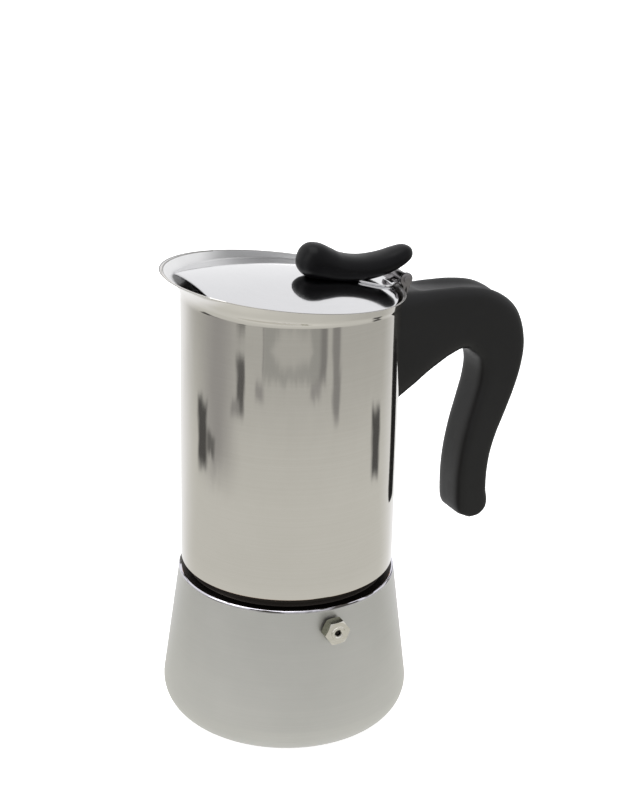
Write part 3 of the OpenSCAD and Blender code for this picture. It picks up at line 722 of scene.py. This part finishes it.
def build_cap():
    """Cap of the riser, a cup turned upside down with two mouths cut in its side."""
    segments, mouth_angle = 96, 20.8
    levels = [COLUMN_Z - 6, COLUMN_Z + 1, COLUMN_Z + 4.5, CAP_TOP - 2.2]
    outer, inner, roof = CAP_R, COLUMN_TOP + 0.05, CAP_R - 2
    dome = [(outer - 0.25, CAP_TOP - 1.5), (outer - 1.0, CAP_TOP - 0.7), (roof, CAP_TOP - 0.1),
            (roof * 0.5, CAP_TOP)]
    rings = [(r, z) for r in (outer, inner) for z in levels] + dome
    verts = [polar(r, t, z) for r, z in rings for t in full_turn(segments)]
    verts += [(0, 0, CAP_TOP), (0, 0, CAP_TOP - 2.2)]
    top, under = len(verts) - 2, len(verts) - 1
    faces = []

    def at(ring, j):
        return ring * segments + j % segments

    def quad(ring_a, ring_b, j):
        faces.append([at(ring_a, j), at(ring_a, j + 1), at(ring_b, j + 1), at(ring_b, j)])

    def is_mouth(j):
        a = (360.0 * (j + 0.5) / segments) % 180
        return min(a, 180 - a) < mouth_angle
    # rings 0 to 3 are the outside from the bottom up, 4 to 7 the inside, 8 to 11 the dome
    for j in range(segments):
        mouth = is_mouth(j)
        for ring in (0, 2, 4, 6) if mouth else (0, 1, 2, 4, 5, 6):
            quad(ring, ring + 1, j)
        for ring in (0, 1, 2) if mouth else (0,):
            quad(ring, ring + 4, j)
        for edge, beside in ((j, j - 1), (j + 1, j + 1)):
            if mouth and not is_mouth(beside):
                faces.append([at(1, edge), at(2, edge), at(6, edge), at(5, edge)])
        for ring_a, ring_b in ((3, 8), (8, 9), (9, 10), (10, 11)):
            quad(ring_a, ring_b, j)
        faces += [[at(11, j), at(11, j + 1), top], [at(7, j), at(7, j + 1), under]]
    piece("riser_cap", verts, faces, PRESSED, "collector", ["column_cap"], "satin_steel", sharp=40)


# ---------------------------------------- handle
def tangent(points, i):
    """Direction of a line of (x, z, ...) stations at one of them."""
    a, b = points[max(i - 1, 0)], points[min(i + 1, len(points) - 1)]
    return Vector((b[0] - a[0], b[1] - a[1])).normalized()


def handle_ring(h, dish):
    """Rounded rectangle as (across, outward), with a thumb scoop pressed into the outward side."""
    r = min(4.0, h * 0.86, HANDLE_W * 0.9)
    # straight flats joined by round corners
    n = 2.0 + 5.5 * (1 - r / max(min(h, HANDLE_W), r + 0.01)) + 1.2
    out = []
    for k in range(64):
        a = 2 * math.pi * (k + 0.5) / 64
        c, s = math.cos(a), math.sin(a)
        d = (abs(c) ** n + abs(s) ** n) ** (-1 / n)
        y, z = HANDLE_W * d * c, h * d * s
        if z > 0 and dish > 0:
            fall = max(0.0, 1 - (y / (HANDLE_W * 0.74)) ** 2)
            z -= dish * fall * fall * (3 - 2 * fall)
        out.append((y, z))
    return out


def build_handle():
    line = spline(HANDLE_LINE, 150)
    rings = []
    for i, (x, z, h) in enumerate(line):
        t = tangent(line, i)
        # the thumb scoop takes up this share of the line
        u = (i / (len(line) - 1) - 0.155) / 0.265
        dish = 2.5 * math.sin(math.pi * u) ** 0.7 if 0 < u < 1 else 0
        # the root is cut off by the vessel's wall
        rings.append([(max(x - t.y * out, math.sqrt(VESSEL_R ** 2 - y * y) + 0.03), y, z + t.x * out)
                      for y, out in handle_ring(h, dish)])
    # the end of the grip is rounded off
    for s, keep in ((0.9, 0.86), (1.5, 0.62), (1.85, 0.3)):
        narrow = (0.45 + 0.55 * keep) * 0.97
        rings.append([(x + t.x * s - t.y * out * keep, y * narrow, z + t.y * s + t.x * out * keep)
                      for y, out in handle_ring(h, 0)])
    piece("handle_grip", *lofted(rings), BLACK, "collector", ["handle"], "black_plastic", sharp=60)

    place = Matrix.Translation((SCREW_X, 0, 0))
    head = fillet([(0, 147.2), (1.2, 147.2), (1.5, 146.6, 0.2), (3.2, 146.6, 0.5), (3.6, 149, 0.1), (0, 149)])
    shank = fillet([(0, 148.9), (1.95, 148.9), (1.95, 169.6, 0.5), (0, 169.8)])
    bolt = joined(turned(head, 72, closed=False, place=place), turned(shank, 48, closed=False, place=place))
    piece("handle_bolt", *bolt, PRESSED, "collector", ["handle_screw"], "inner_steel")
    strap = joined(box_part(44.05, 45.5, -6, 6, 146.1, 174.9), box_part(45.3, 61.9, -6, 6, 166, 167.5))
    bevel(piece("handle_strap", *strap, PRESSED, "collector", ["handle_bracket"], "inner_steel"), 0.25, 2)


# ---------------------------------------- hinge
def strip(path, half_width, thick):
    """Bent sheet strip along a path of (x, z), with its long edges eased."""
    rings = []
    for i, (x, z) in enumerate(path):
        t = tangent(path, i) * (thick / 2)
        across = [(half_width * u, k) for u, k in ((-1, 0.6), (-0.96, 1), (0, 1), (0.96, 1), (1, 0.6))]
        upper = [(x - t.y * k, y, z + t.x * k) for y, k in across]
        lower = [(x + t.y * k, y, z - t.x * k) for y, k in across[::-1]]
        rings.append(upper + lower)
    return lofted(rings)


def plate(outline, y0, y1):
    """Flat plate in the XZ plane, between y0 and y1, with softened edges."""
    middle = sum((Vector(p) for p in outline), Vector((0, 0))) / len(outline)
    rings = []
    eased = ((0.22, y0), (0.06, y0 + 0.07), (0, y0 + 0.22), (0, y1 - 0.22), (0.06, y1 - 0.07), (0.22, y1))
    for k, y in eased:
        shrunk = [Vector(p) - (Vector(p) - middle).normalized() * k for p in outline]
        rings.append([(p.x, y, p.y) for p in shrunk])
    return lofted(rings)


def build_hinge():
    """Fixed half of the hinge: strip from the wall round the rim, two cheeks and the pin."""
    base = [(44.05, 0.6), (45.2, 0.6), (46.3, 0.62), (47.2, 0.9), (47.9, 1.5), (48.2, 2.4), (48.2, 3.6),
            (48.2, 5.3)]
    web = strip([(x, BRACKET_Z + up) for x, up in base], HINGE_HALF, 1.15)
    cheek_r = 2.8
    outline = [(HINGE_X + cheek_r * math.cos(math.radians(d)), HINGE_Z + cheek_r * math.sin(math.radians(d)))
               for d in range(-8, 216, 9)]
    outline += [(46.9, HINGE_Z - 2.6)]
    outline += [(x, BRACKET_Z + up) for x, up in ((46.8, 0.8), (47.3, 0.1), (48.4, 0.6), (49.2, 3))]
    cheeks = [plate(outline, y, y + 1.2) for y in (-HINGE_HALF, HINGE_HALF - 1.2)]
    piece("hinge_fork", *joined(web, *cheeks), HINGE_SHADE_STEEL, "collector", ["hinge_bracket"], "polished_steel",
          sharp=30)
    pin = fillet([(0, -7.6), (1.35, -7.6, 0.35), (1.35, -7.1, 0.1), (PIN_R - 0.02, -7.1), (PIN_R - 0.02, 7.1),
                  (1.35, 7.1, 0.1), (1.35, 7.6, 0.35), (0, 7.6)])
    piece("hinge_rivet", *turned(pin, 48, closed=False, place=HINGE_PLACE), HINGE_SHADE_STEEL, "collector",
          ["hinge_pin"], "polished_steel")


# ---------------------------------------- lid
def build_lid():
    rings = []
    shares = [0.07 + 0.92 * (i / 26) for i in range(27)]

    def ring(share, up, pull=0.0):
        flat = [polar(share * lid_reach(t) - pull, t) for t in full_turn(256)]
        rings.append([(x, y, lid_top(x, y) + up) for x, y in flat])
    for s in shares:
        ring(s, -LID_T)
    half_t = LID_T / 2
    for pull, down in ((0.12, LID_T - 0.03), (0.03, LID_T - 0.2), (0.0, half_t), (0.03, 0.2), (0.12, 0.05)):
        ring(1.0, -down, pull)
    for s in reversed(shares):
        ring(s, 0.0)
    piece("lid_cover", *lofted(rings), LID_STEEL, "lid", ["lid_plate"], "polished_steel", sharp=60)


def build_leaf():
    """Fanned leaf on the lid, with an opening beside its rolled barrel."""
    half = HINGE_HALF - 1.5
    on_lid = [(x, lid_top(x, 0) + up, w) for x, up, w in (
        (LEAF_START, 0, 5.0), (28.2, 0, 5.6), (31, 0, 6.9), (35, 0, 8.6), (38.5, 0, 8.8),
        (LEAF_BEND, 0.1, 7.4))]
    off_lid = [on_lid[-1], (44, HINGE_Z - 1.9, 6.0), (46.5, HINGE_Z - 1.05, half),
               (HINGE_X, HINGE_Z - 1.0, half)]
    line = spline(on_lid, 26) + spline(off_lid, 16)[1:]
    across = [-1, -0.985, -0.8, -0.6, -0.4, -0.2, -0.08, 0.2, 0.4, 0.6, 0.8, 0.985, 1]
    verts, faces, index = [], [], {}
    for i, (x, z, w) in enumerate(line):
        for j, u in enumerate(across):
            y = u * w
            sag = (lid_top(x, 0) - lid_top(x, y)) * min(1, max(0, 1 - (x - LEAF_BEND) / 3))
            edge = 0.18 if abs(u) == 1 or i == 0 else 0.0
            for side in (0, 1):
                index[i, j, side] = len(verts)
                verts.append((x, y, z - sag + (0.03 + edge if side == 0 else LEAF_T - edge)))

    def solid(i, j):
        if not (0 <= i < len(line) - 1 and 0 <= j < len(across) - 1):
            return False
        x = (line[i][0] + line[i + 1][0]) / 2
        u = (across[j] + across[j + 1]) / 2
        return not (42.4 < x < 45.9 and -0.8 < u < -0.08)
    for i in range(len(line) - 1):
        for j in range(len(across) - 1):
            if not solid(i, j):
                continue
            corners = (i, j), (i + 1, j), (i + 1, j + 1), (i, j + 1)
            faces += [[index[corner + (side,)] for corner in corners] for side in (0, 1)]
            for di, dj, a, b in ((-1, 0, (i, j), (i, j + 1)), (1, 0, (i + 1, j), (i + 1, j + 1)),
                                 (0, -1, (i, j), (i + 1, j)), (0, 1, (i, j + 1), (i + 1, j + 1))):
                if not solid(i + di, j + dj):
                    faces.append([index[a + (0,)], index[b + (0,)], index[b + (1,)], index[a + (1,)]])
    barrel = turned(fillet([(PIN_R + 0.06, -half, 0.1), (BARREL_R, -half, 0.25), (BARREL_R, half, 0.25),
                            (PIN_R + 0.06, half, 0.1)]), 64, place=HINGE_PLACE)
    tongue = piece("lid_tongue", *joined((verts, faces), barrel), LID_STEEL, "lid", ["lid_leaf"],
                   "polished_steel")
    # its rolled end is dull and painted dark for shade, like the rest of the hinge
    tongue.data.materials.append(HINGE_SHADE_STEEL)
    for poly in tongue.data.polygons:
        if poly.center.x > 43.4 * MM:
            poly.material_index = 1


def build_knob():
    line = spline(KNOB_LINE, 90)
    n = 2.25
    rings = []
    for i, (x, z, h, w) in enumerate(line):
        t = tangent(line, i)
        ring = []
        for a in full_turn(56):
            c, s = math.cos(a), math.sin(a)
            d = (abs(c) ** n + abs(s) ** n) ** (-1 / n)
            y, out = w * d * c, h * d * s
            px, pz = x - t.y * out, z + t.x * out
            # it rests on the lid and, past the leaf's start, on the leaf
            if px < LEAF_BEND:
                pz = max(pz, lid_top(px, y) + (LEAF_T + 0.04 if px > LEAF_START + 0.1 else 0.03))
            ring.append((px, y, pz))
        rings.append(ring)
    piece("lid_knob", *lofted(rings), KNOB_BLACK, "lid", ["knob"], "black_plastic", sharp=70)

    slope = math.atan(LID_SLOPE + 2 * LID_BOW * KNOB_X)
    place = Matrix.Translation((KNOB_X, 0, lid_top(KNOB_X, 0))) @ Matrix.Rotation(slope, 4, "Y")
    bolt = fillet([(0, -2.4), (1.0, -2.4), (1.3, -2.9, 0.2), (2.7, -2.9, 0.4), (3.0, -1.75, 0.1), (1.5, -1.7),
                   (1.5, 4.9, 0.4), (0, 5.1)])
    piece("knob_bolt", *turned(bolt, 64, closed=False, place=place), PRESSED, "lid", ["knob_screw"],
          "inner_steel")
    ring = fillet([(1.7, -1.7, 0.1), (4.2, -1.7, 0.2), (4.2, -1.0, 0.2), (1.7, -1.0, 0.1)])
    piece("knob_ring", *turned(ring, 72, place=place), INNER, "lid", ["knob_washer"], "inner_steel")


build_boiler()
build_valve()
build_funnel()
build_vessel()
build_handle()
build_hinge()
build_lid()
build_leaf()
build_knob()

# the one CAD node that stays: the valve's seat ring
seat_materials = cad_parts["valve_seat"].data.materials
seat_materials.clear()
seat_materials.append(INNER)


# ---------------------------------------- studio
def stage_mesh(name, verts, faces, mat):
    obj = new_object(name, verts, faces, mat)
    return obj


FRONT = -116.3  # direction of the studio's open, darker side, in degrees from +X


def build_studio():
    # pale floor that stays white, with a soft contact shadow
    mat, bsdf, _ = node_setup("studio_floor")
    bsdf.inputs["Base Color"].default_value = (0.9, 0.9, 0.9, 1)
    bsdf.inputs["Roughness"].default_value = 0.9
    bsdf.inputs["Specular IOR Level"].default_value = 0.0
    bsdf.inputs["Emission Color"].default_value = (1, 1, 1, 1)
    bsdf.inputs["Emission Strength"].default_value = 0.62
    verts = [polar(6000, t, 0) for t in full_turn(96)]
    stage_mesh("floor", verts, [list(range(96))], mat)

    # the world is bright above and behind, and a little darker on the open side
    world = bpy.data.worlds.new("studio")
    bpy.context.scene.world = world
    world.use_nodes = True
    background = world.node_tree.nodes["Background"]
    facing = add_node(world.node_tree, "VectorMath")
    facing.operation = "DOT_PRODUCT"
    feed(facing.inputs[0], add_node(world.node_tree, "TexCoord").outputs["Generated"])
    feed(facing.inputs[1], polar(0.9, math.radians(FRONT), -0.25))
    feed(background.inputs["Strength"], remap(facing.outputs["Value"], 0.1, 0.8, 1.05, 0.76))
    background.inputs["Color"].default_value = (1, 1, 1.01, 1)


# what the polished wall mirrors from the open side, as soft patches on the floor plane:
# bearing from, to, softness (degrees from FRONT), distance from, to, softness (mm), brightness
ROOM = [
    (-94, -60, 34, 300, 640, 90, 0.39),     # grey zone on the left
    (-105, -90, 5, 300, 400, 26, 0.10),     # dark upright shape, left edge
    (-90, -80, 4, 322, 352, 14, 0.17),      # step beside it
    (-54, -45, 4, 404, 500, 26, 0.13),      # small dark figure
    (-60, -50, 4, 392, 416, 14, 0.33),      # its foot
    (-27, -25, 3, 470, 640, 20, 0.30),      # thin post
    (-34, -25, 4, 428, 458, 16, 0.36),      # foot of the post
    (25, 36, 5, 455, 640, 22, 0.27),        # broad post
    (20, 31, 5, 428, 462, 16, 0.36),        # foot of the broad post
    (43, 50, 4, 395, 640, 35, 0.30),        # narrow post
    (92, 105, 5, 292, 392, 26, 0.10)]       # dark upright shape, right edge


def soft_band(value, lo, hi, soft):
    """1 between lo and hi, fading to 0 over the width soft at both ends."""
    up = smooth_step(value, lo - soft / 2, lo + soft / 2)
    return times(up, smooth_step(value, hi + soft / 2, hi - soft / 2))


def sweep_colour(coord):
    """Grey that darkens with the distance, with the patches of ROOM and an arch between the posts."""
    length = add_node(coord.id_data, "VectorMath")
    length.operation = "LENGTH"
    feed(length.inputs[0], coord)
    wobble = noise(coord, 9.0, detail=3.0)
    ripple = noise(coord, 14.0, detail=2.0, distortion=0.8)
    x, y, _ = axes_of(coord)
    bearing = times(maths("ARCTAN2", y, x), 180 / math.pi)
    bearing = maths("ADD", bearing, remap(wobble, 0.3, 0.7, -2.0, 2.0))
    distance = times(length.outputs["Value"], 1000.0)
    distance = maths("ADD", distance, remap(ripple, 0.3, 0.7, -8.0, 8.0))

    ramp = add_node(coord.id_data, "ValToRGB", Fac=maths("DIVIDE", distance, 700.0))
    first, last = ramp.color_ramp.elements
    first.color = (0.93, 0.93, 0.92, 1)
    last.color = (0.50, 0.49, 0.465, 1)
    for stop, v in ((0.08, 0.86), (0.16, 0.76), (0.26, 0.71), (0.38, 0.71), (0.5, 0.66), (0.62, 0.575),
                    (0.76, 0.525)):
        ramp.color_ramp.elements.new(stop).color = (v, v * 0.992, v * 0.925, 1)
    colour = ramp.outputs["Color"]
    for b0, b1, sb, r0, r1, sr, v in ROOM:
        mask = times(soft_band(bearing, b0, b1, sb), soft_band(distance, r0, r1, sr))
        colour = mix(mask, colour, (v, v * 0.98, v * 0.94, 1))
    # the arch's inner edge rises with the fourth power of the bearing
    lean = maths("SUBTRACT", bearing, 2.0)
    lean = times(times(lean, lean), 1 / 576)
    rise = times(times(lean, lean), 60.0)
    arch = soft_band(maths("SUBTRACT", distance, rise), 100, 488, 24)
    arch = times(times(arch, soft_band(distance, 462, 900, 16)), soft_band(bearing, -25, 29, 4))
    colour = mix(arch, colour, (0.40, 0.40, 0.375, 1))
    # both sides run out into the white of the studio
    return mix(smooth_step(maths("ABSOLUTE", bearing), 104.0, 150.0), colour, (1.0, 1.0, 1.0, 1))


def build_sweep():
    """Grey floor card seen only in reflections, painted by bearing and distance."""
    mat = bpy.data.materials.new("grey_sweep")
    mat.use_nodes = True
    tree = mat.node_tree
    tree.nodes.clear()
    coord = add_node(tree, "TexCoord").outputs["Object"]
    glow = add_node(tree, "Emission", Color=sweep_colour(coord), Strength=1.0)
    add_node(tree, "OutputMaterial", Surface=glow.outputs[0])

    n = 128
    verts = [polar(r, t, 0) for r in (46, 900, 4000) for t in full_turn(n)]
    faces = [[i * n + k, i * n + (k + 1) % n, (i + 1) * n + (k + 1) % n, (i + 1) * n + k]
             for i in range(2) for k in range(n)]
    card = stage_mesh("sweep", verts, faces, mat)
    card.visible_camera = False
    card.visible_diffuse = False
    card.visible_shadow = False
    card.visible_transmission = False
    card.rotation_euler = (0, 0, math.radians(FRONT))
    card.location = (0, 0, 0.4 * MM)


def area_light(name, place, aim, size, power):
    light = bpy.data.lights.new(name, "AREA")
    light.shape = "RECTANGLE"
    light.size, light.size_y = size
    light.energy = power
    obj = bpy.data.objects.new(name, light)
    obj.location = place
    obj.rotation_euler = (Vector(aim) - Vector(place)).to_track_quat("-Z", "Y").to_euler()
    obj.visible_camera = False
    bpy.context.scene.collection.objects.link(obj)


build_studio()
build_sweep()
area_light("soft_top", (-0.25, 0.2, 1.5), (0, 0, 0.1), (1.2, 1.2), 9)
area_light("soft_left", (-1.3, 0.1, 0.8), (0, 0, 0.12), (0.9, 1.2), 5)

# ---------------------------------------- camera
CAMERA_PLACE = (-0.296285, -0.599897, 0.402155)
CAMERA_RIGHT, CAMERA_UP = Vector((0.894654, -0.446238, 0.021611)), Vector((0.146486, 0.338699, 0.929422))
cam_data = bpy.data.cameras.new("camera")
cam_data.lens = 79.95
cam_data.sensor_width = 36.0
cam_data.clip_start, cam_data.clip_end = 0.05, 50
cam = bpy.data.objects.new("camera", cam_data)
bpy.context.scene.collection.objects.link(cam)
facing = Matrix((CAMERA_RIGHT, CAMERA_UP, CAMERA_RIGHT.cross(CAMERA_UP))).transposed()
cam.matrix_world = Matrix.Translation(CAMERA_PLACE) @ facing.to_4x4()
bpy.context.scene.camera = cam
bpy.context.scene.view_settings.view_transform = "Standard"
